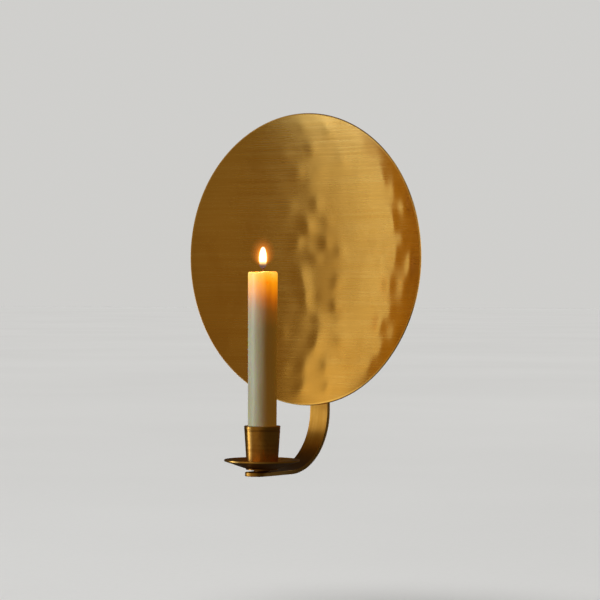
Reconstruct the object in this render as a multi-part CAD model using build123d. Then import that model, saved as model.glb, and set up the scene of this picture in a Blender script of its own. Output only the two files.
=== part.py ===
from build123d import *
import math
import os

# Wall sconce: a shallow brass reflector on a flat strap that bends forward
# under it and carries a drip pan, a candle cup and a candle.
#
# Frame: the wall is the plane Y = 0 and the object stands in front of it, at
# Y < 0. +Z is up. The origin is the centre of the keyhole's round entry in
# the strap, on the wall plane. The object is symmetric about X = 0.
# Millimetres.

# ---- driving dimensions ----------------------------------------------------
Z_DISH = -38.0          # height of the dish's axis, below the keyhole

DISH_R = 109.7          # radius of the hollow at the rim, 110 outside
DISH_RIM_Y = -24.8      # plane of the rim, measured from the wall
DISH_DEPTH = 16.1       # depth of the hollow
DISH_T = 1.2            # sheet thickness

STRAP_W = 17.0          # strap width
STRAP_T = 3.0           # strap thickness
BEND_R = 46.5           # outer radius of the bend
Z_STRAP = Z_DISH - 160.9    # underside of the strap's level run
Z_STRAP_TOP = Z_DISH + 46.0 # centre of the rounded upper end
TIP_AHEAD = 6.5         # centre of the rounded tip, ahead of the candle axis

Y_CANDLE = -71.5        # candle axis

SPACER_R = 6.0
SPACER_T = 1.5

PAN_R = 28.1            # pan rim radius
PAN_RISE = 7.5          # underside of the foot to the top of the rim
PAN_EDGE = 1.3          # height of the rim's edge
PAN_FOOT_R = 12.0
PAN_FOOT_STEP = 0.8
PAN_T = 1.2             # thickness of the pan's floor

CUP_R_LIP = 13.45
CUP_R_BASE = 11.5
CUP_H = 31.2
CUP_BORE_R = 11.1
CUP_FLOOR = 6.2         # solid base of the cup

CANDLE_R_TOP = 10.95
CANDLE_R_LIP = 10.65    # candle radius where it enters the cup
Z_CANDLE_TOP = Z_DISH - 10.0
CANDLE_REST_GAP = 0.2   # candle's foot above the cup's floor
WICK_R = 0.85
WICK_OUT = 7.0          # wick above the wax

KEY_R = 4.5             # keyhole: round entry
KEY_SLOT_R = 2.2        # keyhole: half width of the slot above it
KEY_SLOT_UP = 8.5       # entry centre to the slot's end centre

BOSS_R = 5.0
BOSS_ABOVE = 10.0       # boss heights from the dish's axis
BOSS_BELOW = -30.0
M4_R, M4_CLEAR_R, M4_HEAD_R = 2.0, 2.2, 3.9
M5_R, M5_CLEAR_R, M5_HEAD_R = 2.5, 2.75, 4.8
THREAD_GAP = 0.02       # screw flank to thread

# ---- derived heights -------------------------------------------------------
z_strap_top_face = Z_STRAP + STRAP_T
z_pan = z_strap_top_face + SPACER_T          # underside of the pan's foot
z_pan_floor = z_pan + PAN_T                  # where the cup stands
z_pan_rim = z_pan + PAN_RISE
z_cup_lip = z_pan_floor + CUP_H
z_cup_floor = z_pan_floor + CUP_FLOOR        # floor of the socket
z_candle_foot = z_cup_floor + CANDLE_REST_GAP

parts = {}


def rod_y(r, y0, y1, z):
    """Cylinder along Y from y0 to y1 at height z on the X = 0 plane."""
    h = abs(y1 - y0)
    return Pos(0, (y0 + y1) / 2, z) * Rot(90, 0, 0) * Cylinder(r, h)


def rod_z(r, z0, z1, y=Y_CANDLE):
    return Pos(0, y, (z0 + z1) / 2) * Cylinder(r, z1 - z0)


def turned(points, y=Y_CANDLE):
    """Solid of revolution about the vertical candle axis from (r, z) points."""
    wire = Polyline(*[(r, 0, z) for r, z in points], close=True)
    return Pos(0, y, 0) * revolve(make_face(wire), Axis.Z, 360)


# ---- reflector dish --------------------------------------------------------
def dish_rise(r):
    """How far the hollow's face has come forward at radius r."""
    u = r / DISH_R
    return DISH_DEPTH * (0.60 * u ** 2 + 0.40 * u ** 4)


def dish_slope(r):
    u = r / DISH_R
    return DISH_DEPTH * (1.20 * u + 1.60 * u ** 3) / DISH_R


y_floor = DISH_RIM_Y + DISH_DEPTH
radii = [0, 14, 28, 42, 56, 68, 79, 89, 97.5, 104.5, DISH_R]
front_pts, back_pts = [], []
for r in radii:
    s = dish_slope(r)
    n = math.hypot(1.0, s)
    front_pts.append((r, y_floor - dish_rise(r)))
    back_pts.append((r + DISH_T * s / n, y_floor - dish_rise(r) + DISH_T / n))
# the sheet's edge is cut square to the sheet, with its corners just eased
rim_f, rim_b = front_pts[-1], back_pts[-1]
s = dish_slope(DISH_R)
front = Spline(*front_pts, tangents=[(1, 0), (1, -s)])
back = Spline(*back_pts, tangents=[(1, 0), (1, -s)])
outline = Wire([front, Line(rim_f, rim_b), back, Line(back_pts[0], front_pts[0])])
dish = Pos(0, 0, Z_DISH) * revolve(make_face(outline), Axis.Y, 360)
edges = dish.edges().filter_by(GeomType.CIRCLE).sort_by(lambda e: -e.length)[:2]
dish = fillet(edges, 0.3)
parts["reflector_dish"] = dish

# everything in front of the dish's back face, to shape the bosses' ends
plug_outline = Wire([back, Line(rim_b, (rim_b[0], -40)),
                     Line((rim_b[0], -40), (0, -40)), Line((0, -40), back_pts[0])])
plug = Pos(0, 0, Z_DISH) * revolve(make_face(plug_outline), Axis.Y, 360)

# ---- bosses on the dish's back --------------------------------------------
bosses, dish_screws = [], []
for dz in (BOSS_ABOVE, BOSS_BELOW):
    z = Z_DISH + dz
    y_back = y_floor - dish_rise(abs(dz)) + DISH_T
    boss = rod_y(BOSS_R, -STRAP_T, y_back - 3.0, z) - plug
    boss -= rod_y(M4_R, -STRAP_T + 1, y_back + 0.5, z)
    bosses.append(boss)
parts["dish_bosses"] = Compound(children=bosses)

# ---- bracket arm: strap with one large bend -------------------------------
yc, zc = -BEND_R, Z_STRAP + BEND_R
ri = BEND_R - STRAP_T
c45 = math.cos(math.radians(45))
y_end, z_end = -150.0, 40.0
outer_arc = ThreePointArc((0, 0, zc), (0, yc + BEND_R * c45, zc - BEND_R * c45), (0, yc, Z_STRAP))
inner_arc = ThreePointArc((0, yc, z_strap_top_face), (0, yc + ri * c45, zc - ri * c45), (0, -STRAP_T, zc))
# arcs are drawn in the YZ plane
side = Wire([
    Line((0, 0, z_end), (0, 0, zc)), outer_arc, Line((0, yc, Z_STRAP), (0, y_end, Z_STRAP)),
    Line((0, y_end, Z_STRAP), (0, y_end, z_strap_top_face)),
    Line((0, y_end, z_strap_top_face), (0, yc, z_strap_top_face)), inner_arc,
    Line((0, -STRAP_T, zc), (0, -STRAP_T, z_end)), Line((0, -STRAP_T, z_end), (0, 0, z_end))])
strip = extrude(make_face(side), STRAP_W / 2, dir=(1, 0, 0), both=True)
y_tip = Y_CANDLE - TIP_AHEAD
half = STRAP_W / 2
# rounded tip, seen from above, and rounded upper end, seen from the front
plan = Pos(0, (y_tip + 20) / 2, 0) * Box(STRAP_W, 20 - y_tip, 900) + Pos(0, y_tip, 0) * Cylinder(half, 900)
front_view = (Pos(0, 0, (Z_STRAP_TOP - 260) / 2) * Box(STRAP_W, 400, Z_STRAP_TOP + 260)
              + Pos(0, 0, Z_STRAP_TOP) * Rot(90, 0, 0) * Cylinder(half, 400))
arm = strip & plan & front_view
arm = arm.solids()[0] if len(arm.solids()) == 1 else arm
long_edges = [e for e in arm.edges() if abs(abs(e.center().X) - half) < 1e-3
              and e.length > 1.0 and e.bounding_box().size.X < 1e-3
              and not (abs(e.bounding_box().size.Y - STRAP_T) < 1e-3 and e.bounding_box().size.Z < 1e-3)
              and not (abs(e.bounding_box().size.Z - STRAP_T) < 1e-3 and e.bounding_box().size.Y < 1e-3)]
tip_edges = [e for e in arm.edges().filter_by(GeomType.CIRCLE) if e.bounding_box().size.X > STRAP_W - 0.01]
try:
    arm = fillet(long_edges + tip_edges, 0.4)
except Exception as exc:
    print("strap edges left sharp:", exc)

# keyhole: round entry with a slot above it
arm -= rod_y(KEY_R, -STRAP_T - 1, 1, 0)
arm -= Pos(0, -STRAP_T / 2, KEY_SLOT_UP / 2) * Box(2 * KEY_SLOT_R, STRAP_T + 2, KEY_SLOT_UP)
arm -= rod_y(KEY_SLOT_R, -STRAP_T - 1, 1, KEY_SLOT_UP)

# countersunk holes for the dish screws, sunk from the wall side
for dz in (BOSS_ABOVE, BOSS_BELOW):
    z = Z_DISH + dz
    arm -= rod_y(M4_CLEAR_R, -STRAP_T - 1, 1, z)
    h = M4_HEAD_R - M4_CLEAR_R
    arm -= Pos(0, -h / 2, z) * Rot(-90, 0, 0) * Cone(M4_CLEAR_R, M4_HEAD_R, h)
# countersunk hole for the cup screw, sunk from below
arm -= rod_z(M5_CLEAR_R, Z_STRAP - 1, z_strap_top_face + 1)
h = M5_HEAD_R - M5_CLEAR_R
arm -= Pos(0, Y_CANDLE, Z_STRAP + h / 2) * Cone(M5_HEAD_R, M5_CLEAR_R, h)
parts["bracket_arm"] = arm


# ---- screws ----------------------------------------------------------------
def countersunk(shank_r, head_r, length, hex_af):
    """Countersunk socket screw: head at z = 0, shank towards +Z."""
    head_h = head_r - shank_r
    body = Pos(0, 0, head_h / 2) * Cone(head_r, shank_r, head_h)
    body += Pos(0, 0, length / 2) * Cylinder(shank_r, length)
    socket = extrude(RegularPolygon(hex_af / math.sqrt(3), 6), head_h + 0.2)
    body -= socket
    tip = body.edges().filter_by(GeomType.CIRCLE).group_by(Axis.Z)[-1]
    return chamfer(tip, 0.35)


for dz in (BOSS_ABOVE, BOSS_BELOW):
    z = Z_DISH + dz
    reach = -(y_floor - dish_rise(abs(dz)) + DISH_T) - 0.9
    screw = countersunk(M4_R - THREAD_GAP, M4_HEAD_R - 0.22, reach - 0.15, 2.5)
    dish_screws.append(Pos(0, -0.15, z) * Rot(90, 0, 0) * screw)
parts["dish_screws"] = Compound(children=dish_screws)

cup_thread_top = z_pan_floor + 5.0
cup_screw = countersunk(M5_R - THREAD_GAP, M5_HEAD_R - 0.32, cup_thread_top - 0.4 - (Z_STRAP + 0.15), 3.0)
parts["cup_screw"] = Pos(0, Y_CANDLE, Z_STRAP + 0.15) * cup_screw

# ---- spacer ----------------------------------------------------------------
parts["pan_spacer"] = rod_z(SPACER_R, z_strap_top_face, z_pan) - rod_z(M5_CLEAR_R, z_strap_top_face - 1, z_pan + 1)

# ---- drip pan --------------------------------------------------------------
pan = turned([
    (M5_CLEAR_R, z_pan),
    (PAN_FOOT_R, z_pan),
    (PAN_FOOT_R, z_pan + PAN_FOOT_STEP),
    (PAN_FOOT_R + 0.6, z_pan + PAN_FOOT_STEP + 0.15),
    (PAN_R - 1.0, z_pan_rim - PAN_EDGE - 0.25),
    (PAN_R, z_pan_rim - PAN_EDGE),
    (PAN_R, z_pan_rim),
    (PAN_R - 1.0, z_pan_rim),
    (PAN_R - 1.3, z_pan_rim - 0.35),
    (PAN_FOOT_R + 0.6, z_pan_floor),
    (M5_CLEAR_R, z_pan_floor)])
rim_edges = [e for e in pan.edges().filter_by(GeomType.CIRCLE) if abs(e.radius - PAN_R) < 1e-3]
pan = fillet(rim_edges, 0.45)
parts["drip_pan"] = pan

# ---- candle cup ------------------------------------------------------------
def cup_r(z):
    return CUP_R_BASE + (CUP_R_LIP - CUP_R_BASE) * (z - z_pan_floor) / CUP_H


def groove(z, w=0.36, d=0.16):
    return [(cup_r(z - w / 2), z - w / 2), (cup_r(z) - d, z), (cup_r(z + w / 2), z + w / 2)]


cup_outline = [(0, z_pan_floor), (CUP_R_BASE - 0.3, z_pan_floor), (CUP_R_BASE, z_pan_floor + 0.3)]
cup_outline += groove(z_cup_lip - 3.6) + groove(z_cup_lip - 2.6)
cup_outline += [
    (CUP_R_LIP, z_cup_lip - 0.4), (CUP_R_LIP - 0.35, z_cup_lip),
    (CUP_BORE_R + 0.5, z_cup_lip), (CUP_BORE_R, z_cup_lip - 0.5),
    (CUP_BORE_R, z_cup_floor), (0, z_cup_floor)]
cup = turned(cup_outline)
cup -= rod_z(M5_R, z_pan_floor - 1, cup_thread_top)
parts["candle_cup"] = cup

# ---- candle ----------------------------------------------------------------
def candle_r(z):
    k = (CANDLE_R_TOP - CANDLE_R_LIP) / (Z_CANDLE_TOP - z_cup_lip)
    return CANDLE_R_LIP + k * (z - z_cup_lip)


wax = turned([
    (WICK_R, z_candle_foot), (candle_r(z_candle_foot) - 0.6, z_candle_foot),
    (candle_r(z_candle_foot), z_candle_foot + 0.6),
    (candle_r(Z_CANDLE_TOP - 1.6), Z_CANDLE_TOP - 1.6),
    (CANDLE_R_TOP - 0.35, Z_CANDLE_TOP - 0.5),
    (CANDLE_R_TOP - 1.3, Z_CANDLE_TOP),
    (CANDLE_R_TOP - 3.0, Z_CANDLE_TOP - 0.5),
    (CANDLE_R_TOP - 6.0, Z_CANDLE_TOP - 1.3),
    (WICK_R, Z_CANDLE_TOP - 1.6)])
parts["candle_wax"] = wax
parts["candle_wick"] = rod_z(WICK_R, z_candle_foot + 0.3, Z_CANDLE_TOP + WICK_OUT)

# ---- write -----------------------------------------------------------------
os.makedirs("parts", exist_ok=True)
for name, shape in parts.items():
    export_step(shape, f"parts/{name}.step")
    bb = shape.bounding_box()
    print(f"{name:16s} solids {len(shape.solids())} vol {shape.volume:10.1f} "
          f"min {bb.min.X:7.2f} {bb.min.Y:7.2f} {bb.min.Z:7.2f} max {bb.max.X:7.2f} {bb.max.Y:7.2f} {bb.max.Z:7.2f}")
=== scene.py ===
import bpy
import math
import numpy as np
from mathutils import Matrix, Vector


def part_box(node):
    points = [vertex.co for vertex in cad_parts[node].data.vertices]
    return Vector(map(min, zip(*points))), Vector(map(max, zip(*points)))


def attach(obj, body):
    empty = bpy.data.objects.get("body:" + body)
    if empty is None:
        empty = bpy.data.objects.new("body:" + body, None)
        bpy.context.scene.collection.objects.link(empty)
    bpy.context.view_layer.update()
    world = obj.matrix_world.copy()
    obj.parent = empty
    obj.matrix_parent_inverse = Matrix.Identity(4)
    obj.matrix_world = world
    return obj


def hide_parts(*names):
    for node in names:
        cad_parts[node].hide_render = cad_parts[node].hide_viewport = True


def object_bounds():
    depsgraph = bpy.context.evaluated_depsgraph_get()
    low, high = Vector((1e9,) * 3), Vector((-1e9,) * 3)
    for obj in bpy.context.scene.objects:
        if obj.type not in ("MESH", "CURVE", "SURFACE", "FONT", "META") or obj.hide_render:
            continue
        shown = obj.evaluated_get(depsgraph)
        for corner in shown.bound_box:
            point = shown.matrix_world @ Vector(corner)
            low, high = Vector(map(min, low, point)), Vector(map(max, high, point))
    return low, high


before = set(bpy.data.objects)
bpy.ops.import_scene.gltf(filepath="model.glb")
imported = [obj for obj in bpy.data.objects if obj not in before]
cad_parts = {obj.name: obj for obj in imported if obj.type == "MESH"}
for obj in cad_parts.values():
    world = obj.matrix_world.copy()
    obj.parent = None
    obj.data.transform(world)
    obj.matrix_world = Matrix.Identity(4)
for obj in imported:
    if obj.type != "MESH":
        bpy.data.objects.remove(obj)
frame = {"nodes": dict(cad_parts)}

cad_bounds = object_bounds()
MM = 0.001

# ============================================================ places, from CAD
dish_lo, dish_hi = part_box("reflector_dish")
wax_lo, wax_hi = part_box("candle_wax")
wick_lo, wick_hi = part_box("candle_wick")
cup_lo, cup_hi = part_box("candle_cup")
pan_lo, pan_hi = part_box("drip_pan")
arm_lo, arm_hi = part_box("bracket_arm")

Z_DISH = (dish_lo[2] + dish_hi[2]) / 2 * 1000          # mm
Y_CANDLE = (wax_lo[1] + wax_hi[1]) / 2 * 1000
Z_WAX_TOP = wax_hi[2] * 1000
Z_WAX_FOOT = wax_lo[2] * 1000
Z_LIP = cup_hi[2] * 1000
Z_PAN_RIM = pan_hi[2] * 1000
R_PAN = (pan_hi[0] - pan_lo[0]) / 2 * 1000
R_CUP = (cup_hi[0] - cup_lo[0]) / 2 * 1000

# ============================================================ node-graph helper


class Graph:
    """Short calls for building one material's nodes."""

    def __init__(self, name, tree=None):
        if tree is None:
            self.mat = bpy.data.materials.new(name)
            self.mat.use_nodes = True
            tree = self.mat.node_tree
        self.t = tree
        self.t.nodes.clear()
        self.count = 0

    def n(self, kind, **props):
        node = self.t.nodes.new(kind)
        node.location = (220 * (self.count % 12), -260 * (self.count // 12))
        self.count += 1
        for k, v in props.items():
            setattr(node, k, v)
        return node

    def put(self, socket, value):
        if value is None:
            return
        if isinstance(value, bpy.types.NodeSocket):
            self.t.links.new(value, socket)
        else:
            socket.default_value = value

    def math(self, op, a, b=None, c=None, clamp=False):
        node = self.n("ShaderNodeMath", operation=op, use_clamp=clamp)
        for i, v in enumerate((a, b, c)):
            if v is not None:
                self.put(node.inputs[i], v)
        return node.outputs[0]

    def vmath(self, op, a, b=None):
        node = self.n("ShaderNodeVectorMath", operation=op)
        self.put(node.inputs[0], a)
        if b is not None:
            self.put(node.inputs[1], b)
        return node.outputs["Value"] if op in ("LENGTH", "DOT_PRODUCT") else node.outputs[0]

    def coord(self, which="Object"):
        return self.n("ShaderNodeTexCoord").outputs[which]

    def xyz(self, vec):
        s = self.n("ShaderNodeSeparateXYZ")
        self.put(s.inputs[0], vec)
        return s.outputs[0], s.outputs[1], s.outputs[2]

    def join(self, x, y, z):
        c = self.n("ShaderNodeCombineXYZ")
        for i, v in enumerate((x, y, z)):
            self.put(c.inputs[i], v)
        return c.outputs[0]

    def scaled(self, vec, scale, loc=(0, 0, 0)):
        m = self.n("ShaderNodeMapping")
        self.put(m.inputs["Vector"], vec)
        m.inputs["Scale"].default_value = scale
        m.inputs["Location"].default_value = loc
        return m.outputs[0]

    def noise(self, vec, scale=1.0, detail=3.0, rough=0.5, distort=0.0):
        node = self.n("ShaderNodeTexNoise")
        self.put(node.inputs["Vector"], vec)
        node.inputs["Scale"].default_value = scale
        node.inputs["Detail"].default_value = detail
        node.inputs["Roughness"].default_value = rough
        node.inputs["Distortion"].default_value = distort
        return node.outputs["Fac"]

    def span(self, v, a, b, c=0.0, d=1.0, smooth=False):
        node = self.n("ShaderNodeMapRange", clamp=True)
        node.interpolation_type = "SMOOTHSTEP" if smooth else "LINEAR"
        self.put(node.inputs["Value"], v)
        node.inputs["From Min"].default_value = a
        node.inputs["From Max"].default_value = b
        node.inputs["To Min"].default_value = c
        node.inputs["To Max"].default_value = d
        return node.outputs["Result"]

    def ramp(self, v, stops, mode="LINEAR"):
        node = self.n("ShaderNodeValToRGB")
        cr = node.color_ramp
        cr.interpolation = mode
        while len(cr.elements) > 1:
            cr.elements.remove(cr.elements[-1])
        cr.elements[0].position = stops[0][0]
        cr.elements[0].color = (*stops[0][1], 1)
        for p, col in stops[1:]:
            e = cr.elements.new(p)
            e.color = (*col, 1)
        self.put(node.inputs[0], v)
        return node.outputs["Color"]

    def mix(self, f, a, b, mode="MIX"):
        node = self.n("ShaderNodeMix", data_type="RGBA", blend_type=mode)
        self.put(node.inputs[0], f)
        for i, v in ((6, a), (7, b)):
            if isinstance(v, tuple) and len(v) == 3:
                v = (*v, 1)
            self.put(node.inputs[i], v)
        return node.outputs[2]

    def bump(self, height, strength, distance, normal=None):
        node = self.n("ShaderNodeBump")
        node.inputs["Strength"].default_value = strength
        node.inputs["Distance"].default_value = distance
        self.put(node.inputs["Height"], height)
        if normal is not None:
            self.put(node.inputs["Normal"], normal)
        return node.outputs[0]

    def principled(self, **sockets):
        node = self.n("ShaderNodeBsdfPrincipled")
        for k, v in sockets.items():
            name = k.replace("_", " ")
            if isinstance(v, tuple) and len(v) == 3 and node.inputs[name].type == "RGBA":
                v = (*v, 1)
            self.put(node.inputs[name], v)
        out = self.n("ShaderNodeOutputMaterial")
        self.t.links.new(node.outputs[0], out.inputs[0])
        return node


# ============================================================ brass finishes
BRASS = (0.80, 0.40, 0.060)
BRASS_LIGHT = (0.88, 0.50, 0.105)
BRASS_DEEP = (0.66, 0.285, 0.030)


def sheet_brass(name, worked=True):
    """Brushed sheet: long fine lines along X, warmer and duller patches, a worn bright rim."""
    g = Graph(name)
    p = g.coord()
    x, y, z = g.xyz(p)
    # long brush strokes, not quite level, at three widths
    wander = g.noise(g.scaled(p, (9, 9, 14)), 1.0, 2.0)
    zz = g.math("MULTIPLY_ADD", wander, 0.0016, z)
    strokes = g.join(g.math("MULTIPLY", x, 1.0), 0.0, zz)
    fine = g.noise(g.scaled(strokes, (11, 1, 1500)), 1.0, 3.0, 0.65)
    mid = g.noise(g.scaled(strokes, (7, 1, 430), (3, 0, 7)), 1.0, 3.0, 0.6)
    wide = g.noise(g.scaled(strokes, (5, 1, 110), (9, 0, 2)), 1.0, 2.0, 0.5)
    patch = g.noise(g.scaled(p, (17, 17, 13), (1.3, 0, 0.7)), 1.0, 4.0, 0.55, 0.4)
    stain = g.noise(g.scaled(p, (60, 60, 48), (5, 0, 3)), 1.0, 3.0, 0.6)
    lines = g.math("ADD", g.math("MULTIPLY", fine, 0.50), g.math("ADD", g.math("MULTIPLY", mid, 0.42), g.math("MULTIPLY", wide, 0.08)))
    base = g.ramp(g.span(lines, 0.36, 0.64), [(0.0, (0.735, 0.350, 0.046)), (0.5, BRASS), (1.0, (0.860, 0.455, 0.082))])
    base = g.mix(g.span(patch, 0.46, 0.70, 0.0, 0.55), base, BRASS_DEEP)
    base = g.mix(g.span(stain, 0.60, 0.78, 0.0, 0.35), base, (0.58, 0.25, 0.03))
    # the rim, where the sheet's edge was filed and rubbed bright
    r = g.vmath("LENGTH", g.join(x, 0.0, g.math("SUBTRACT", z, Z_DISH * MM)))
    rim = g.span(g.math("ADD", r, g.math("MULTIPLY", mid, 0.0006)), 0.1089, 0.1099, 0.0, 1.0)
    base = g.mix(g.math("MULTIPLY", rim, 0.75), base, BRASS_LIGHT)
    rough = g.math("ADD", g.span(lines, 0.36, 0.64, -0.035, 0.035), g.span(patch, 0.35, 0.70, -0.02, 0.05))
    if worked:
        # hammering burnished the middle and the right edge a little
        beaten = g.math("MAXIMUM", g.span(g.math("ABSOLUTE", g.math("SUBTRACT", x, 0.009)), 0.016, 0.040, 1.0, 0.0, True),
                        g.span(x, 0.066, 0.080, 0.0, 1.0, True))
        rough = g.math("SUBTRACT", g.math("ADD", rough, 0.262), g.math("MULTIPLY", beaten, 0.014))
    else:
        # the back was only cleaned after soldering: duller, with heat marks round the bosses
        heat = g.math("MINIMUM", g.vmath("LENGTH", g.join(x, 0.0, g.math("SUBTRACT", z, (Z_DISH + 10) * MM))),
                      g.vmath("LENGTH", g.join(x, 0.0, g.math("SUBTRACT", z, (Z_DISH - 30) * MM))))
        heat = g.math("ADD", heat, g.span(stain, 0.3, 0.7, -0.006, 0.006))
        ring = g.ramp(g.span(heat, 0.004, 0.045), [(0.0, (0.30, 0.10, 0.035)), (0.16, (0.50, 0.19, 0.05)),
                      (0.34, (0.62, 0.26, 0.04)), (0.62, (0.74, 0.36, 0.055)), (1.0, BRASS)])
        base = g.mix(g.span(heat, 0.010, 0.050, 0.85, 0.0, True), base, ring)
        rough = g.math("ADD", rough, 0.40)
    rough = g.math("SUBTRACT", rough, g.math("MULTIPLY", rim, 0.06))
    nrm = g.bump(g.math("ADD", fine, g.math("MULTIPLY", mid, 0.5)), 0.22, 0.00004)
    nrm = g.bump(patch, 0.25, 0.0004, nrm)
    tan = g.n("ShaderNodeTangent", direction_type="UV_MAP", uv_map="brush")
    g.principled(Base_Color=base, Metallic=1.0, Roughness=rough, Normal=nrm, Tangent=tan.outputs[0],
                 Anisotropic=0.86 if worked else 0.5)
    return g.mat


def strap_brass(name):
    """Flat bar, brushed along its length, with rubbed edges."""
    g = Graph(name)
    p = g.coord()
    x, y, z = g.xyz(p)
    lines = g.noise(g.scaled(p, (1900, 22, 22)), 1.0, 3.0, 0.6)
    wide = g.noise(g.scaled(p, (420, 9, 9), (4, 1, 2)), 1.0, 3.0, 0.6)
    patch = g.noise(g.scaled(p, (50, 36, 36), (2, 5, 1)), 1.0, 4.0, 0.6, 0.5)
    both = g.math("ADD", g.math("MULTIPLY", lines, 0.5), g.math("MULTIPLY", wide, 0.5))
    base = g.ramp(g.span(both, 0.35, 0.65), [(0.0, (0.70, 0.32, 0.040)), (0.5, (0.78, 0.385, 0.055)), (1.0, (0.85, 0.45, 0.080))])
    base = g.mix(g.span(patch, 0.48, 0.72, 0.0, 0.6), base, (0.58, 0.235, 0.028))
    # painted shade: the low part of the bend next to the pan is darkened to stand for the dark room that it mirrors
    low = g.span(g.math("ADD", z, g.span(patch, 0.3, 0.7, -0.003, 0.003)), -0.172, -0.194, 0.0, 1.0, True)
    pan_side_shade = g.span(y, -0.066, -0.050, 0.0, 1.0, True)
    base = g.mix(g.math("MULTIPLY", g.math("MULTIPLY", low, pan_side_shade), 0.78), base, (0.16, 0.060, 0.012))
    edge = g.span(g.math("ADD", g.math("ABSOLUTE", x), g.math("MULTIPLY", wide, 0.0003)), 0.00800, 0.00858)
    base = g.mix(g.math("MULTIPLY", edge, 0.7), base, BRASS_LIGHT)
    rough = g.math("ADD", g.span(both, 0.35, 0.65, 0.30, 0.38), g.span(patch, 0.35, 0.7, -0.02, 0.06))
    rough = g.math("SUBTRACT", rough, g.math("MULTIPLY", edge, 0.06))
    nrm = g.bump(both, 0.5, 0.00004)
    nrm = g.bump(patch, 0.2, 0.0003, nrm)
    tan = g.n("ShaderNodeTangent", direction_type="RADIAL", axis="X")
    g.principled(Base_Color=base, Metallic=1.0, Roughness=rough, Normal=nrm, Tangent=tan.outputs[0],
                 Anisotropic=0.6, Anisotropic_Rotation=0.25)
    return g.mat


def turned_brass(name, worn_r=None, worn_z=None, groove_shade_z=(), corner=None, under=0.0):
    """Lathe finish: fine rings about the candle's axis, painted shade in two turned grooves and on faces that point
    down, darker in the corner where cup and pan meet.
    """
    g = Graph(name)
    p = g.coord()
    x, y, z = g.xyz(p)
    yy = g.math("SUBTRACT", y, Y_CANDLE * MM)
    r = g.vmath("LENGTH", g.join(x, yy, 0.0))
    ringv = g.join(g.math("MULTIPLY", r, 1.0), g.math("MULTIPLY", z, 1.0), 0.0)
    fine = g.noise(g.scaled(ringv, (1700, 1700, 1)), 1.0, 3.0, 0.65)
    wide = g.noise(g.scaled(ringv, (420, 420, 1), (3, 5, 0)), 1.0, 2.0, 0.5)
    patch = g.noise(g.scaled(p, (70, 70, 70), (3, 1, 5)), 1.0, 4.0, 0.6, 0.6)
    speck = g.noise(g.scaled(p, (420, 420, 420)), 1.0, 2.0, 0.5)
    rings = g.math("ADD", g.math("MULTIPLY", fine, 0.6), g.math("MULTIPLY", wide, 0.4))
    base = g.ramp(g.span(rings, 0.36, 0.64), [(0.0, (0.70, 0.320, 0.046)), (0.5, (0.78, 0.390, 0.066)), (1.0, (0.85, 0.460, 0.092))])
    base = g.mix(g.span(patch, 0.48, 0.72, 0.0, 0.6), base, (0.52, 0.185, 0.024))
    base = g.mix(g.span(speck, 0.66, 0.80, 0.0, 0.5), base, (0.40, 0.14, 0.02))
    # painted shade: thin dark lines at the two turned grooves under the lip
    for line in groove_shade_z:
        off = g.math("ABSOLUTE", g.math("SUBTRACT", z, line * MM))
        base = g.mix(g.span(off, 0.00006, 0.00024, 0.75, 0.0), base, (0.16, 0.055, 0.010))
    if corner is not None:
        # darker in the corner where the cup stands in the pan
        cz, cr = corner
        near = g.vmath("LENGTH", g.join(g.math("SUBTRACT", r, cr * MM), g.math("SUBTRACT", z, cz * MM), 0.0))
        near = g.math("ADD", near, g.span(patch, 0.3, 0.7, -0.0009, 0.0009))
        base = g.mix(g.span(near, 0.0004, 0.0042, 0.75, 0.0, True), base, (0.26, 0.095, 0.016))
    if under:
        # painted shade: faces that point down are darkened, standing for the shade beneath the pan
        down = g.xyz(g.n("ShaderNodeNewGeometry").outputs["Normal"])[2]
        base = g.mix(g.span(g.math("ADD", down, g.span(patch, 0.3, 0.7, -0.08, 0.08)), -0.25, -0.75, 0.0, under, True), base, (0.20, 0.078, 0.015))
    worn = 0.0
    if worn_r is not None:
        worn = g.span(g.math("ADD", r, g.math("MULTIPLY", patch, 0.0004)), (worn_r - 0.45) * MM, (worn_r + 0.15) * MM)
    if worn_z is not None:
        top = g.span(g.math("ADD", z, g.math("MULTIPLY", patch, 0.0004)), (worn_z - 0.50) * MM, (worn_z + 0.10) * MM)
        worn = top if isinstance(worn, float) else g.math("MAXIMUM", worn, top)
    if not isinstance(worn, float):
        base = g.mix(g.math("MULTIPLY", worn, 0.7), base, BRASS_LIGHT)
    rough = g.math("ADD", g.span(rings, 0.35, 0.65, 0.27, 0.35), g.span(patch, 0.35, 0.7, -0.02, 0.07))
    nrm = g.bump(rings, 0.5, 0.00003)
    nrm = g.bump(patch, 0.2, 0.0002, nrm)
    tan = g.n("ShaderNodeTangent", direction_type="RADIAL", axis="Z")
    g.principled(Base_Color=base, Metallic=1.0, Roughness=rough, Normal=nrm, Tangent=tan.outputs[0],
                 Anisotropic=0.7, Anisotropic_Rotation=0.25)
    return g.mat


def plain_brass(name, deep, light, rough_lo, rough_hi, grain=600.0):
    """Small machined pieces: fine grain, tarnish in spots."""
    g = Graph(name)
    p = g.coord()
    grain_n = g.noise(g.scaled(p, (grain, grain, grain)), 1.0, 4.0, 0.65)
    patch = g.noise(g.scaled(p, (150, 150, 150), (1, 2, 3)), 1.0, 4.0, 0.6, 0.8)
    base = g.ramp(g.span(grain_n, 0.34, 0.66), [(0.0, deep), (1.0, light)])
    base = g.mix(g.span(patch, 0.5, 0.74, 0.0, 0.7), base, tuple(c * 0.62 for c in deep))
    rough = g.math("ADD", g.span(grain_n, 0.3, 0.7, rough_lo, rough_hi), g.span(patch, 0.4, 0.7, 0.0, 0.1))
    nrm = g.bump(g.math("ADD", grain_n, g.math("MULTIPLY", patch, 0.8)), 0.4, 0.00006)
    g.principled(Base_Color=base, Metallic=1.0, Roughness=rough, Normal=nrm)
    return g.mat


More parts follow.
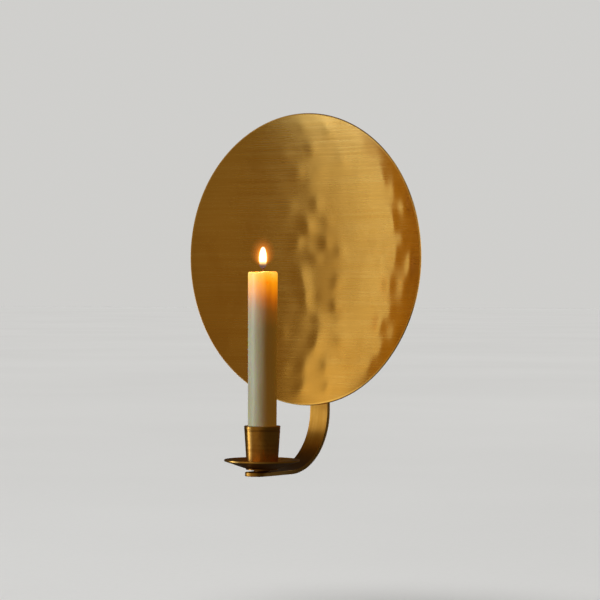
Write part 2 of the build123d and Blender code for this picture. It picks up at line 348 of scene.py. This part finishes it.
# ============================================================ wax, wick, flame
def wax_material(name):
    """Ivory wax that glows where the flame's light soaks into its top."""
    g = Graph(name)
    p = g.coord()
    x, y, z = g.xyz(p)
    down = g.math("MULTIPLY", g.math("SUBTRACT", Z_WAX_TOP * MM, z), 1000.0)      # mm below the top
    yy = g.math("SUBTRACT", y, Y_CANDLE * MM)
    around = g.scaled(g.join(x, yy, g.math("MULTIPLY", z, 0.06)), (260, 260, 260))
    streak = g.noise(around, 1.0, 3.0, 0.55)                                       # dipped, lengthwise
    cloud = g.noise(g.scaled(p, (90, 90, 40), (2, 3, 1)), 1.0, 4.0, 0.6)
    mottle = g.noise(g.scaled(p, (900, 900, 900)), 1.0, 2.0, 0.5)
    base = g.ramp(g.span(g.math("ADD", g.math("MULTIPLY", streak, 0.6), g.math("MULTIPLY", cloud, 0.4)), 0.36, 0.64),
                  [(0.0, (0.70, 0.680, 0.500)), (0.5, (0.77, 0.755, 0.570)), (1.0, (0.83, 0.815, 0.640))])
    base = g.mix(g.span(mottle, 0.45, 0.75, 0.0, 0.12), base, (0.86, 0.80, 0.62))
    # the light soaking down through the wax reaches its skin warm
    base = g.mix(g.span(down, 0.0, 30.0, 0.55, 0.0, True), base, (0.86, 0.62, 0.26))
    wob = g.math("ADD", down, g.math("ADD", g.span(streak, 0.3, 0.7, -1.3, 1.3), g.span(cloud, 0.3, 0.7, -1.5, 1.5)))
    glow = g.ramp(g.span(wob, 0.0, 42.0), [
        (0.00, (1.00, 0.520, 0.070)), (0.10, (0.95, 0.420, 0.018)), (0.20, (0.86, 0.270, 0.002)),
        (0.31, (0.72, 0.195, 0.001)), (0.42, (0.51, 0.122, 0.001)), (0.52, (0.34, 0.078, 0.001)),
        (0.70, (0.17, 0.050, 0.002)), (1.00, (0.095, 0.038, 0.002))])
    gloss = g.span(streak, 0.3, 0.7, 0.34, 0.50)
    melt = g.span(down, 0.0, 2.2, 1.0, 0.0, True)
    rough = g.math("SUBTRACT", gloss, g.math("MULTIPLY", melt, 0.22))
    nrm = g.bump(streak, 0.22, 0.0004)
    nrm = g.bump(mottle, 0.08, 0.0001, nrm)
    g.principled(Base_Color=base, Roughness=rough, Normal=nrm, Subsurface_Weight=0.55,
                 Subsurface_Radius=(0.9, 0.45, 0.18), Subsurface_Scale=0.0045, IOR=1.44,
                 Emission_Color=glow, Emission_Strength=GLOW, Coat_Weight=0.12, Coat_Roughness=0.25)
    return g.mat


GLOW = 1.12


def wick_material(name):
    """Braided cotton: waxy and pale low down, burnt black with a glowing tip."""
    g = Graph(name)
    p = g.coord()
    x, y, z = g.xyz(p)
    up = g.math("MULTIPLY", g.math("SUBTRACT", z, Z_WAX_TOP * MM), 1000.0)
    fibre = g.noise(g.scaled(p, (5200, 5200, 1400)), 1.0, 3.0, 0.6)
    soot = g.noise(g.scaled(p, (1800, 1800, 1800)), 1.0, 3.0, 0.6)
    t = g.span(g.math("ADD", up, g.span(soot, 0.3, 0.7, -0.7, 0.7)), -2.0, 7.0)
    base = g.ramp(t, [(0.0, (0.62, 0.50, 0.30)), (0.16, (0.34, 0.20, 0.09)), (0.30, (0.07, 0.030, 0.015)),
                      (0.75, (0.020, 0.012, 0.010)), (1.0, (0.06, 0.015, 0.006))])
    base = g.mix(g.span(fibre, 0.35, 0.65, 0.0, 0.5), base, (0.05, 0.03, 0.02))
    ember = g.ramp(t, [(0.0, (0.0, 0.0, 0.0)), (0.30, (0.05, 0.012, 0.004)), (0.62, (0.10, 0.02, 0.006)),
                       (0.86, (0.9, 0.17, 0.03)), (1.0, (1.0, 0.30, 0.06))])
    nrm = g.bump(fibre, 0.7, 0.00012)
    g.principled(Base_Color=base, Roughness=g.span(fibre, 0.3, 0.7, 0.75, 0.95), Normal=nrm,
                 Emission_Color=ember, Emission_Strength=0.9)
    return g.mat


def flame_shell(name, stops, solid, z0, z1, power):
    """One layer of the flame: colour runs up it, and it lets the layer behind it through."""
    g = Graph(name)
    p = g.coord()
    x, y, z = g.xyz(p)
    t = g.span(z, z0 * MM, z1 * MM)
    col = g.ramp(t, [(a, c) for a, c, _ in stops])
    fac = g.ramp(t, [(a, (f, f, f)) for a, _, f in stops])
    see = g.n("ShaderNodeBsdfTransparent")
    em = g.n("ShaderNodeEmission")
    g.put(em.inputs["Color"], col)
    em.inputs["Strength"].default_value = power
    mx = g.n("ShaderNodeMixShader")
    g.put(mx.inputs[0], g.math("MULTIPLY", fac, solid))
    g.t.links.new(see.outputs[0], mx.inputs[1])
    g.t.links.new(em.outputs[0], mx.inputs[2])
    out = g.n("ShaderNodeOutputMaterial")
    g.t.links.new(mx.outputs[0], out.inputs[0])
    return g.mat


# ============================================================ mesh helpers
def add_mesh(name, verts, faces, mats, face_mats=None, smooth=True):
    me = bpy.data.meshes.new(name)
    me.from_pydata([tuple(v) for v in verts], [], faces)
    me.update()
    ob = bpy.data.objects.new(name, me)
    bpy.context.scene.collection.objects.link(ob)
    for m in mats:
        me.materials.append(m)
    if face_mats is not None:
        me.polygons.foreach_set("material_index", face_mats)
    me.polygons.foreach_set("use_smooth", [smooth] * len(me.polygons))
    me.update()
    return ob


# ============================================================ the hammered dish
DISH_R, DISH_DEPTH, DISH_T = 109.7, 16.1, 1.2
Y_FLOOR = dish_lo[1] * 1000 + DISH_DEPTH                # deepest point of the hollow


def rise(r):
    u = r / DISH_R
    return DISH_DEPTH * (0.60 * u ** 2 + 0.40 * u ** 4)


def slope(r):
    u = r / DISH_R
    return DISH_DEPTH * (1.20 * u + 1.60 * u ** 3) / DISH_R


# hammer marks: x, z from the dish's axis, half widths, depth towards the wall (all mm)
MARKS = [
    (3, 84, 5, 6, .17), (22, 97, 5, 6, .15), (-14, 66, 5, 6, .10), (8, 67, 5, 5, .08), (31, 76, 5, 7, .11),
    (3, 42, 5, 6, .13), (-7, 25, 5, 6, .21), (-17, 13, 5, 7, .15), (11, 13, 5, 6, .13), (25, 6, 4.5, 6, .10),
    (1, 2, 5, 5, .10), (-12, -17, 5.5, 10, .20), (-7, -31, 5, 8, .15), (22, -18, 5, 8, .17), (22, -35, 5, 6, .17),
    (5, -46, 5, 5, .09), (5, -62, 5, 8, .22), (29, -61, 5, 7, .13), (26, -46, 5, 6, .09), (-5, -82, 5, 7, .12),
    (18, -80, 5, 6, .12), (-3, -98, 5, 6, .17), (24, -97, 5, 6, .15), (-29, -57, 5, 7, .11), (-24, -84, 5, 6, .08),
    (-22, 40, 6, 6, .08), (-24, 80, 6, 6, .07), (-36, 57, 6, 6, .06), (13, 28, 5, 6, .08), (-2, 100, 5, 5, .08),
    (40, 20, 6, 7, .05), (44, -30, 6, 8, .05), (47, 58, 6, 7, .05), (46, -74, 6, 7, .06),
    (78, 27, 4.5, 8, .30), (92, 38, 4.5, 7, .24), (80, 3, 4.5, 8, .26), (73, -20, 5, 8, .26), (88, 14, 4.5, 7, .20),
    (90, -22, 4.5, 9, .20), (66, -48, 5, 8, .26), (76, -40, 5, 7, .20), (70, -66, 5, 7, .22), (60, -78, 5, 7, .20),
    (82, 52, 5, 8, .20), (70, 60, 5, 8, .16), (84, -56, 5, 8, .18), (97, -6, 4, 8, .16), (62, 10, 6, 8, .07),
    (66, -4, 4.5, 6, .10), (58, -30, 5, 8, .09), (52, 84, 6, 7, .10),
]
# each mark leans its own way, less so by the rim
MARKS = [(mx, mz, sx * .84, sz * .78, d * 2.05, 0.62 * math.sin(2.3 * i + 0.4) if mx < 50 else 0.18 * math.sin(1.7 * i))
         for i, (mx, mz, sx, sz, d) in enumerate(MARKS)]
# a long narrow crease by the rim, where the sheet was bent round by hand
MARKS.append((96.3, -3.0, 2.3, 7.5, .30, -0.13))
rng = np.random.default_rng(73)
for _ in range(150):
    rr, aa = 104 * math.sqrt(rng.random()), rng.random() * 2 * math.pi
    MARKS.append((rr * math.cos(aa), rr * math.sin(aa), rng.uniform(4.0, 7), rng.uniform(4.0, 6.5), rng.uniform(.02, .075), rng.uniform(-.6, .6)))


def hammered(x, z):
    h = np.zeros_like(x)
    for mx, mz, sx, sz, d, lean in MARKS:
        c, s = math.cos(lean), math.sin(lean)
        u, v = (x - mx) * c + (z - mz) * s, (z - mz) * c - (x - mx) * s
        h += d * np.exp(-(u / sx) ** 2 / 2 - (v / sz) ** 2 / 2)
    # long slow unevenness of hand-raised sheet
    h += 0.16 * np.sin(x / 31 + 0.6) * np.sin(z / 37 + 1.1) + 0.08 * np.sin(x / 17 - z / 23)
    # the sheet lies flat on its two bosses
    for bz in (10.0, -30.0):
        h *= 1 - 0.75 * np.exp(-((x / 7) ** 2 + ((z - bz) / 7) ** 2))
    return h - 0.12


def out_of_round(a):
    """Rim radius error of hand-cut sheet, mm, against the angle from +X towards +Z."""
    knots = [(-125, -0.8), (-72, 1.0), (-30, -0.75), (43, 0.45), (109, -0.6), (163, 0.7)]
    at = np.array([k[0] for k in knots] + [knots[0][0] + 360], float)
    val = np.array([k[1] for k in knots] + [knots[0][1]], float)
    d = (np.degrees(a) - at[0]) % 360 + at[0]
    i = np.clip(np.searchsorted(at, d, side="right") - 1, 0, len(at) - 2)
    t = (d - at[i]) / (at[i + 1] - at[i])
    t = (1 - np.cos(np.pi * t)) / 2
    return val[i] * (1 - t) + val[i + 1] * t


def build_dish():
    s = slope(DISH_R)
    n = math.hypot(1, s)
    along, through = (1 / n, -s / n), (s / n, 1 / n)
    rim = (DISH_R, Y_FLOOR - rise(DISH_R))
    prof = []                                            # (r, y, side)
    NR = 118
    rs = [DISH_R * (1 - (1 - k / NR) ** 1.12) for k in range(1, NR)]
    rs = [r for r in rs if r < DISH_R - 0.75]
    for r in rs:
        prof.append((r, Y_FLOOR - rise(r), 0))
    for k in range(5):
        f = math.radians(22.5 * k)
        a, b = -0.55 + 0.55 * math.sin(f), 0.55 - 0.55 * math.cos(f)
        prof.append((rim[0] + a * along[0] + b * through[0], rim[1] + a * along[1] + b * through[1], 0))
    for k in range(5):
        f = math.radians(22.5 * k)
        a, b = -0.55 + 0.55 * math.cos(f), 0.65 + 0.55 * math.sin(f)
        prof.append((rim[0] + a * along[0] + b * through[0], rim[1] + a * along[1] + b * through[1], 0))
    last_front = len(prof) - 1
    for r in [rs[i] for i in range(len(rs) - 1, 0, -2)]:
        sl = slope(r)
        m = math.hypot(1, sl)
        prof.append((r + DISH_T * sl / m, Y_FLOOR - rise(r) + DISH_T / m, 1))
    NA = 300
    ang = np.arange(NA) * 2 * np.pi / NA
    oor = out_of_round(ang)
    verts, faces, fm = [], [], []
    for r, y, _ in prof:
        w = np.clip((r - 70) / 40, 0, 1)
        w = w * w * (3 - 2 * w)
        rr = r + oor * w
        xs, zs = rr * np.cos(ang), rr * np.sin(ang)
        ys = y + hammered(xs, zs)
        verts.extend(zip(xs * MM, ys * MM, (zs + Z_DISH) * MM))
    c = float(hammered(np.array([0.0]), np.array([0.0]))[0])
    front_c = len(verts)
    verts.append((0, (Y_FLOOR + c) * MM, Z_DISH * MM))
    back_c = len(verts)
    verts.append((0, (Y_FLOOR + DISH_T + c) * MM, Z_DISH * MM))
    for k in range(NA):
        j = (k + 1) % NA
        faces.append((front_c, k, j)); fm.append(0)
    for i in range(len(prof) - 1):
        for k in range(NA):
            j = (k + 1) % NA
            faces.append((i * NA + k, (i + 1) * NA + k, (i + 1) * NA + j, i * NA + j))
            fm.append(0 if i < last_front else 1)
    b = (len(prof) - 1) * NA
    for k in range(NA):
        j = (k + 1) % NA
        faces.append((back_c, b + j, b + k)); fm.append(1)
    ob = add_mesh("hammered_dish", verts, faces, [sheet_brass("brass_dish_front", True), sheet_brass("brass_dish_back", False)], fm)
    me = ob.data
    # the map only carries the brushing's direction: U runs up the dish, across the lines
    uv = me.uv_layers.new(name="brush")
    idx = np.empty(len(me.loops), dtype=np.int32)
    me.loops.foreach_get("vertex_index", idx)
    co = np.empty(len(me.vertices) * 3)
    me.vertices.foreach_get("co", co)
    co = co.reshape(-1, 3)[idx]
    flat = np.stack([(co[:, 2] - Z_DISH * MM) * 4 + 0.5, co[:, 0] * 4 + 0.5], 1).ravel()
    uv.data.foreach_set("uv", flat)
    return ob


dish = build_dish()
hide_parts("reflector_dish")
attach(dish, "holder")


# ============================================================ the candle
def candle_radius(z):
    k = (10.95 - 10.65) / (Z_WAX_TOP - Z_LIP)
    return 10.65 + k * (z - Z_LIP)


def build_candle():
    top, foot = Z_WAX_TOP, Z_WAX_FOOT
    R = 10.95
    prof = [(0.0, foot, 0), (9.6, foot, 0), (candle_radius(foot) - 0.15, foot + 0.25, 0), (candle_radius(foot), foot + 0.8, 0)]
    z = foot + 3.0
    while z < top - 4.0:
        prof.append((candle_radius(z), z, 0))
        z += 2.4
    for dr, dz, w in ((0.0, -3.6, 0.1), (0.0, -2.8, 0.2), (-0.02, -2.1, 0.4), (-0.05, -1.55, 0.6), (-0.14, -1.0, 0.9),
                      (-0.30, -0.56, 1), (-0.52, -0.26, 1), (-0.82, -0.08, 1), (-1.2, 0.0, 1), (-1.65, -0.08, 1),
                      (-2.2, -0.30, 1), (-2.9, -0.62, 1), (-3.8, -0.98, 0.9), (-4.9, -1.30, 0.7), (-6.1, -1.52, 0.5),
                      (-7.4, -1.64, 0.3), (-8.7, -1.66, 0.2), (-9.6, -1.52, 0.1)):
        prof.append((R + dr, top + dz, w))
    prof.append((0.80, top - 1.25, 0))                   # wax creeps a little up the wick
    NA = 128
    ang = np.arange(NA) * 2 * np.pi / NA
    verts, faces = [], []
    for r, z, w in prof:
        side = 0.035 * np.sin(2 * ang + z / 37) + 0.02 * np.sin(5 * ang - z / 19) + 0.018 * np.sin(9 * ang + z / 11)
        soft = w * (0.22 * np.sin(ang + 0.5) + 0.13 * np.sin(3 * ang + 2.0) + 0.06 * np.sin(7 * ang)) - w * 0.12
        inset = 1.0 if z > Z_LIP + 1 else 0.25
        rr = r + side * inset * min(r / 9, 1)
        verts.extend(zip(rr * np.cos(ang) * MM, (Y_CANDLE + rr * np.sin(ang)) * MM, (z + np.minimum(soft, 0.2)) * MM))
    # first ring has no radius: make it one vertex
    verts = verts[NA:]
    n = len(prof) - 1
    c0 = len(verts)
    verts.append((0, Y_CANDLE * MM, foot * MM))
    c1 = len(verts)
    verts.append((0, Y_CANDLE * MM, (top - 1.2) * MM))
    for k in range(NA):
        j = (k + 1) % NA
        faces.append((c0, j, k))
    for i in range(n - 1):
        for k in range(NA):
            j = (k + 1) % NA
            faces.append((i * NA + k, i * NA + j, (i + 1) * NA + j, (i + 1) * NA + k))
    b = (n - 1) * NA
    for k in range(NA):
        j = (k + 1) % NA
        faces.append((b + k, b + j, c1))
    return add_mesh("ivory_candle", verts, faces, [wax_material("wax_ivory")])


candle = build_candle()
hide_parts("candle_wax")
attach(candle, "candle")


def build_wick():
    """A braided cord: three plies twisted together, with a slight lean and a burnt, frayed end."""
    z0, z1 = wick_lo[2] * 1000 + 0.1, wick_hi[2] * 1000
    levels = list(np.linspace(z0, Z_WAX_TOP - 4, 24)) + list(np.linspace(Z_WAX_TOP - 3.4, z1, 34))
    NA = 30
    ang = np.arange(NA) * 2 * np.pi / NA
    verts, faces = [], []
    for z in levels:
        up = max(0.0, z - (Z_WAX_TOP - 1.4))
        cx = 0.045 * up + 0.010 * up ** 2
        cy = -0.030 * up
        twist = z * 1.15
        r = 0.66 + 0.15 * np.abs(np.cos(1.5 * ang + twist)) ** 0.8
        t = min(1.0, max(0.0, (z - (z1 - 1.1)) / 1.1))
        r = r * (1 - 0.62 * t ** 2) + 0.03 * np.sin(4 * ang + 3 * z) * (1 + t)
        if t == 0 and up > 0:
            r = r * (1 - 0.02 * up)
        verts.extend(zip((cx + r * np.cos(ang)) * MM, (Y_CANDLE + cy + r * np.sin(ang)) * MM, np.full(NA, z * MM)))
    for i in range(len(levels) - 1):
        for k in range(NA):
            j = (k + 1) % NA
            faces.append((i * NA + k, i * NA + j, (i + 1) * NA + j, (i + 1) * NA + k))
    faces.append(tuple(range(NA - 1, -1, -1)))
    b = (len(levels) - 1) * NA
    up = z1 - (Z_WAX_TOP - 1.4)
    verts.append(((0.045 * up + 0.010 * up ** 2) * MM, (Y_CANDLE - 0.03 * up) * MM, (z1 - 0.02) * MM))
    c = len(verts) - 1
    for k in range(NA):
        faces.append((b + k, b + (k + 1) % NA, c))
    return add_mesh("braided_wick", verts, faces, [wick_material("wick_cotton")])


wick = build_wick()
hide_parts("candle_wick")
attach(wick, "candle")

# ------------------------------------------------------------ the flame
Z_FLAME0 = Z_WAX_TOP + 2.6
Z_FLAME1 = Z_WAX_TOP + 18.1


def teardrop(name, r_max, z0, z1, mat, lean=0.0, blunt=0.62, peak=0.40, rings=30, seg=40):
    ang = np.arange(seg) * 2 * np.pi / seg
    verts, faces = [], []
    for i in range(1, rings):
        t = i / rings
        t = t * t * (3 - 2 * t) * 0.5 + t * 0.5
        q = t ** (math.log(0.5) / math.log(peak))        # the widest place at t = peak
        r = r_max * math.sin(math.pi * q) ** blunt * (1 - 0.12 * t ** 3)
        z = z0 + (z1 - z0) * t
        sway = lean * t * t
        verts.extend(zip((sway + r * np.cos(ang)) * MM, (Y_CANDLE + 0.6 * sway + r * np.sin(ang)) * MM, np.full(seg, z * MM)))
    a = len(verts)
    verts.append((0, Y_CANDLE * MM, z0 * MM))
    verts.append((lean * MM, (Y_CANDLE + 0.6 * lean) * MM, z1 * MM))
    for k in range(seg):
        j = (k + 1) % seg
        faces.append((a, j, k))
        faces.append(((rings - 2) * seg + k, (rings - 2) * seg + j, a + 1))
    for i in range(rings - 2):
        for k in range(seg):
            j = (k + 1) % seg
            faces.append((i * seg + k, i * seg + j, (i + 1) * seg + j, (i + 1) * seg + k))
    ob = add_mesh(name, verts, faces, [mat])
    ob.visible_shadow = False
    ob.visible_diffuse = False
    ob.visible_glossy = False
    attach(ob, "candle")
    return ob


core_mat = flame_shell("flame_core_glow", [
    (0.00, (0.02, 0.012, 0.010), 0.0), (0.08, (0.06, 0.024, 0.010), 0.12), (0.17, (0.16, 0.070, 0.026), 0.45),
    (0.25, (0.5, 0.30, 0.14), 1.0), (0.34, (1.0, 0.95, 0.80), 1.0), (0.85, (1.0, 0.96, 0.82), 1.0), (1.0, (1.0, 0.86, 0.50), 1.0)],
    1.0, Z_FLAME0, Z_FLAME1, 2.6)
base_mat = flame_shell("flame_base_glow", [
    (0.00, (0.16, 0.20, 0.40), 0.0), (0.22, (0.26, 0.27, 0.42), 0.55), (0.55, (0.50, 0.32, 0.24), 0.75), (1.0, (1.0, 0.55, 0.22), 0.0)],
    0.28, Z_WAX_TOP + 1.8, Z_WAX_TOP + 8.5, 1.0)
teardrop("flame_core", 2.66, Z_FLAME0, Z_FLAME1, core_mat, 0.12, 0.40, 0.50)
teardrop("flame_cup", 2.95, Z_WAX_TOP + 1.8, Z_WAX_TOP + 8.5, base_mat, 0.0, 0.5, 0.62)
HALO = [(2.86, 0.0, 0.25, 0.70, (1.6, 1.15, 0.45)), (3.12, 0.1, 0.5, 0.55, (1.1, 0.58, 0.13)), (3.45, 0.4, 1.1, 0.36, (1.0, 0.42, 0.06)), (4.0, 0.6, 1.9, 0.22, (1.0, 0.34, 0.04)),
        (4.8, 0.8, 3.0, 0.13, (1.0, 0.29, 0.03)), (5.9, 0.8, 4.6, 0.08, (1.0, 0.27, 0.03)), (7.3, 0.6, 6.4, 0.05, (1.0, 0.25, 0.03)),
        (8.9, 0.2, 8.4, 0.03, (1.0, 0.24, 0.03))]
for i, (rr, lo, hi, f, tint) in enumerate(HALO):
    dim = tuple(c * 0.8 for c in tint)
    m = flame_shell(f"flame_halo_glow_{i}", [
        (0.00, dim, 0.0), (0.14, dim, 0.10), (0.30, tint, 1.0), (0.72, tint, 1.0), (1.0, dim, 0.30)],
        f / 3, Z_FLAME0 - lo, Z_FLAME1 + hi, 3.0)
    teardrop(f"flame_halo_{i}", rr, Z_FLAME0 + 0.6 - lo, Z_FLAME1 + hi, m, 0.1, 0.5, 0.46)

# ============================================================ CAD pieces' finishes
finish = {
    "bracket_arm": (strap_brass("brass_strap"), "strap_brass"),
    "candle_cup": (turned_brass("brass_cup", None, Z_LIP, (Z_LIP - 2.6, Z_LIP - 3.6), (Z_LIP - 31.2, 11.5)), "turned_brass"),
    "drip_pan": (turned_brass("brass_pan", R_PAN, None, (), (Z_LIP - 31.2, 11.5), 0.85), "turned_brass"),
    # painted shade: the spacer's brass is near black, standing for the shade it sits in under the pan
    "pan_spacer": (plain_brass("brass_spacer_painted_shade", (0.20, 0.085, 0.016), (0.32, 0.14, 0.03), 0.45, 0.6, 900), None),
    "dish_bosses": (plain_brass("brass_boss", (0.50, 0.21, 0.035), (0.70, 0.34, 0.06), 0.34, 0.5, 500), None),
    "dish_screws": (plain_brass("brass_dish_screw", (0.52, 0.26, 0.06), (0.78, 0.44, 0.12), 0.24, 0.4, 800), None),
    "cup_screw": (plain_brass("brass_cup_screw", (0.50, 0.24, 0.05), (0.76, 0.42, 0.11), 0.24, 0.4, 800), None),
}
for node, (mat, slot_name) in finish.items():
    ob = frame["nodes"][node]
    ob.data.materials.clear()
    ob.data.materials.append(mat)

# ============================================================ stage and light
Z_FLOOR = cad_bounds[0][2] - 0.11


def floor_material():
    g = Graph("pale_floor")
    p = g.coord()
    cloud = g.noise(g.scaled(p, (1.1, 1.1, 1.1)), 1.0, 3.0, 0.5)
    grain = g.noise(g.scaled(p, (260, 260, 260)), 1.0, 2.0, 0.5)
    base = g.ramp(g.span(g.math("ADD", g.math("MULTIPLY", cloud, 0.7), g.math("MULTIPLY", grain, 0.3)), 0.35, 0.65),
                  [(0.0, (0.765, 0.755, 0.735)), (1.0, (0.80, 0.79, 0.77))])
    g.principled(Base_Color=base, Roughness=0.85, Specular_IOR_Level=0.1)
    return g.mat


def build_floor():
    verts, faces = [(0, 0, Z_FLOOR)], []
    seg, radii = 96, [0.5, 1.5, 4, 10, 30]
    for r in radii:
        for k in range(seg):
            a = 2 * math.pi * k / seg
            verts.append((r * math.cos(a), r * math.sin(a), Z_FLOOR))
    for k in range(seg):
        faces.append((0, 1 + k, 1 + (k + 1) % seg))
    for i in range(len(radii) - 1):
        for k in range(seg):
            j = (k + 1) % seg
            faces.append((1 + i * seg + k, 1 + (i + 1) * seg + k, 1 + (i + 1) * seg + j, 1 + i * seg + j))
    ob = add_mesh("studio_floor", verts, faces, [floor_material()])
    return ob


floor = build_floor()
floor.visible_glossy = False
floor.visible_diffuse = False


def heading(az, el=0.0):
    """Unit vector from the object towards azimuth az (0 is straight in front), elevation el."""
    a, e = math.radians(az), math.radians(el)
    return Vector((math.sin(a) * math.cos(e), -math.cos(a) * math.cos(e), math.sin(e)))


def area(name, az, el, dist, width, height, power, colour, only=None, aim=Vector((0, -0.04, -0.06)), spread=180.0):
    data = bpy.data.lights.new(name, "AREA")
    data.shape = "RECTANGLE"
    data.size, data.size_y = width, height
    data.energy = power
    data.color = colour
    data.spread = math.radians(spread)
    ob = bpy.data.objects.new(name, data)
    ob.location = aim + heading(az, el) * dist
    ob.rotation_euler = (aim - ob.location).to_track_quat("-Z", "Y").to_euler()
    ob.visible_camera = False
    bpy.context.scene.collection.objects.link(ob)
    if only:
        group = bpy.data.collections.new("lit_by_" + name)
        for piece in only:
            group.objects.link(piece)
        ob.light_linking.receiver_collection = group
    return ob


node = frame["nodes"]
dish_side = [dish, node["dish_bosses"], node["dish_screws"]]
arm_side = [node["bracket_arm"], node["candle_cup"], node["drip_pan"], node["pan_spacer"], node["cup_screw"]]
# a tall softbox on the left, brighter towards its far edge, cooler low down and warmer at its top
area("key_wide", -50.3, -2.0, 1.5, 0.64, 0.70, 0.86, (0.82, 0.98, 1.34))
area("key_far", -55.5, -2.0, 1.5, 0.36, 0.70, 0.20, (0.82, 0.98, 1.34))
area("key_high", -53.0, 25.0, 1.5, 0.50, 0.66, 0.86, (0.97, 1.00, 0.98), dish_side)
area("key_low_wide", -51.5, -33.0, 1.5, 0.56, 0.66, 0.66, (0.70, 1.00, 1.90))
area("key_low_far", -56.5, -33.0, 1.5, 0.34, 0.66, 0.84, (0.74, 0.97, 1.95))
area("key_low_edge", -66.0, -25.0, 1.5, 0.26, 0.36, 0.44, (0.76, 1.00, 1.90), dish_side)
# warm light past the softbox's far edge, redder further round
area("warm_near", -70.5, 3.0, 1.2, 0.36, 0.84, 0.33, (1.0, 0.64, 0.07), dish_side)
area("warm_far", -88.0, -3.0, 1.2, 0.40, 1.00, 0.12, (1.0, 0.36, 0.03), dish_side)
area("rim_low", -100.0, -8.0, 1.2, 0.6, 0.4, 1.1, (1.0, 0.78, 0.34), [dish])
area("rim_strip", 84.0, 4.0, 1.3, 0.45, 1.6, 4.4, (1.0, 0.84, 0.50), [dish])
area("back_of_dish", 138.0, 0.0, 1.5, 0.80, 1.3, 5.2, (0.90, 0.97, 1.15), dish_side)
area("back_of_arm", 168.0, 8.0, 1.5, 0.35, 1.2, 2.8, (0.90, 0.97, 1.15), [node["bracket_arm"]])
area("right_top", 96.0, 58.0, 1.6, 0.45, 0.7, 1.6, (1.0, 0.93, 0.82), dish_side)
# the key's soft share on the wax: matt things see more of a softbox than the brass mirrors back
area("key_bounce", -37.0, 6.0, 1.4, 0.5, 1.2, 10.3, (0.77, 0.95, 0.90), [candle, wick])
# a slim strip further round, for the turned pieces and the strap's tip
area("pan_rim", -14.0, 52.0, 1.2, 0.8, 0.6, 1.1, (1.0, 0.84, 0.56), [node["drip_pan"]])
area("side_strip", -62.0, 4.0, 1.2, 0.28, 0.7, 2.6, (0.93, 1.00, 1.12), arm_side)

# floor light: reaches the floor alone, evenly, and softens the shadow under the object
wash = bpy.data.lights.new("floor_wash", "SUN")
wash.energy = 2.75
wash.angle = math.radians(50)
wash.color = (0.985, 0.995, 1.0)
wash_ob = bpy.data.objects.new("floor_wash", wash)
wash_ob.location = (0, 0, 3.0)
wash_ob.rotation_euler = (math.radians(14), math.radians(-10), 0)
wash_ob.visible_glossy = False
bpy.context.scene.collection.objects.link(wash_ob)
only = bpy.data.collections.new("lit_by_floor_wash")
only.objects.link(floor)
wash_ob.light_linking.receiver_collection = only

# the flame's own light
fl = bpy.data.lights.new("candle_light", "POINT")
fl.energy = 0.05
fl.color = (1.0, 0.50, 0.14)
fl.shadow_soft_size = 0.005
fl_ob = bpy.data.objects.new("candle_light", fl)
fl_ob.location = (0, Y_CANDLE * MM, (Z_WAX_TOP + 11) * MM)
fl_ob.visible_camera = False
bpy.context.scene.collection.objects.link(fl_ob)
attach(fl_ob, "candle")
near_flame = bpy.data.collections.new("lit_by_candle_light")
for piece in (candle, wick, node["candle_cup"], node["drip_pan"]):
    near_flame.objects.link(piece)
fl_ob.light_linking.receiver_collection = near_flame
candle.visible_glossy = False


def build_world():
    w = bpy.data.worlds.new("studio")
    bpy.context.scene.world = w
    w.use_nodes = True
    g = Graph("studio", w.node_tree)
    d = g.coord("Generated")
    lobes = [((0.044, 0.036, 0.025), None, 0),
             ((0.150, 0.120, 0.080), heading(-10, 2), 3.0),
             ((0.06, 0.04, 0.01), heading(-20, 40), 3.0),
             ((0.10, 0.10, 0.09), heading(-15, -48), 3.0),
             ((0.06, 0.055, 0.05), heading(60, 80), 4.0)]
    total = None
    for col, direction, power in lobes:
        if direction is None:
            total = g.n("ShaderNodeRGB").outputs[0]
            total.default_value = (*col, 1)
            continue
        f = g.math("MAXIMUM", g.vmath("DOT_PRODUCT", d, tuple(direction)), 0.0)
        f = g.math("POWER", f, power)
        total = g.mix(1.0, total, g.mix(f, (0, 0, 0), col), "ADD")
    bg_light = g.n("ShaderNodeBackground")
    g.put(bg_light.inputs[0], total)
    bg_seen = g.n("ShaderNodeBackground")
    bg_seen.inputs[0].default_value = (0.629, 0.624, 0.607, 1)
    lp = g.n("ShaderNodeLightPath")
    bg_light.inputs[1].default_value = 1.0
    g.put(bg_light.inputs[1], g.math("MULTIPLY_ADD", lp.outputs["Is Glossy Ray"], 0.85, 0.15))
    mx = g.n("ShaderNodeMixShader")
    g.put(mx.inputs[0], lp.outputs["Is Camera Ray"])
    g.t.links.new(bg_light.outputs[0], mx.inputs[1])
    g.t.links.new(bg_seen.outputs[0], mx.inputs[2])
    out = g.n("ShaderNodeOutputWorld")
    g.t.links.new(mx.outputs[0], out.inputs[0])


build_world()
bpy.context.scene.view_settings.view_transform = "Standard"
bpy.context.scene.view_settings.look = "None"


# ============================================================ camera
def build_camera():
    loc = Vector((1.15924, -1.51049, -0.06024))
    fw = Vector((-0.61565464, 0.788002, -0.00471237)).normalized()
    right_v = fw.cross(Vector((0, 0, 1))).normalized()
    up_v = right_v.cross(fw)
    c, s = math.cos(math.radians(0.20)), math.sin(math.radians(0.20))
    r2, u2 = right_v * c + up_v * s, up_v * c - right_v * s
    m = Matrix((r2, u2, -fw)).transposed().to_4x4()
    m.translation = loc
    cam = bpy.data.cameras.new("camera")
    cam.lens = 150
    cam.sensor_width = 36
    cam.clip_start = 0.05
    cam.clip_end = 100
    ob = bpy.data.objects.new("camera", cam)
    bpy.context.scene.collection.objects.link(ob)
    ob.matrix_world = m
    bpy.context.scene.camera = ob


build_camera()
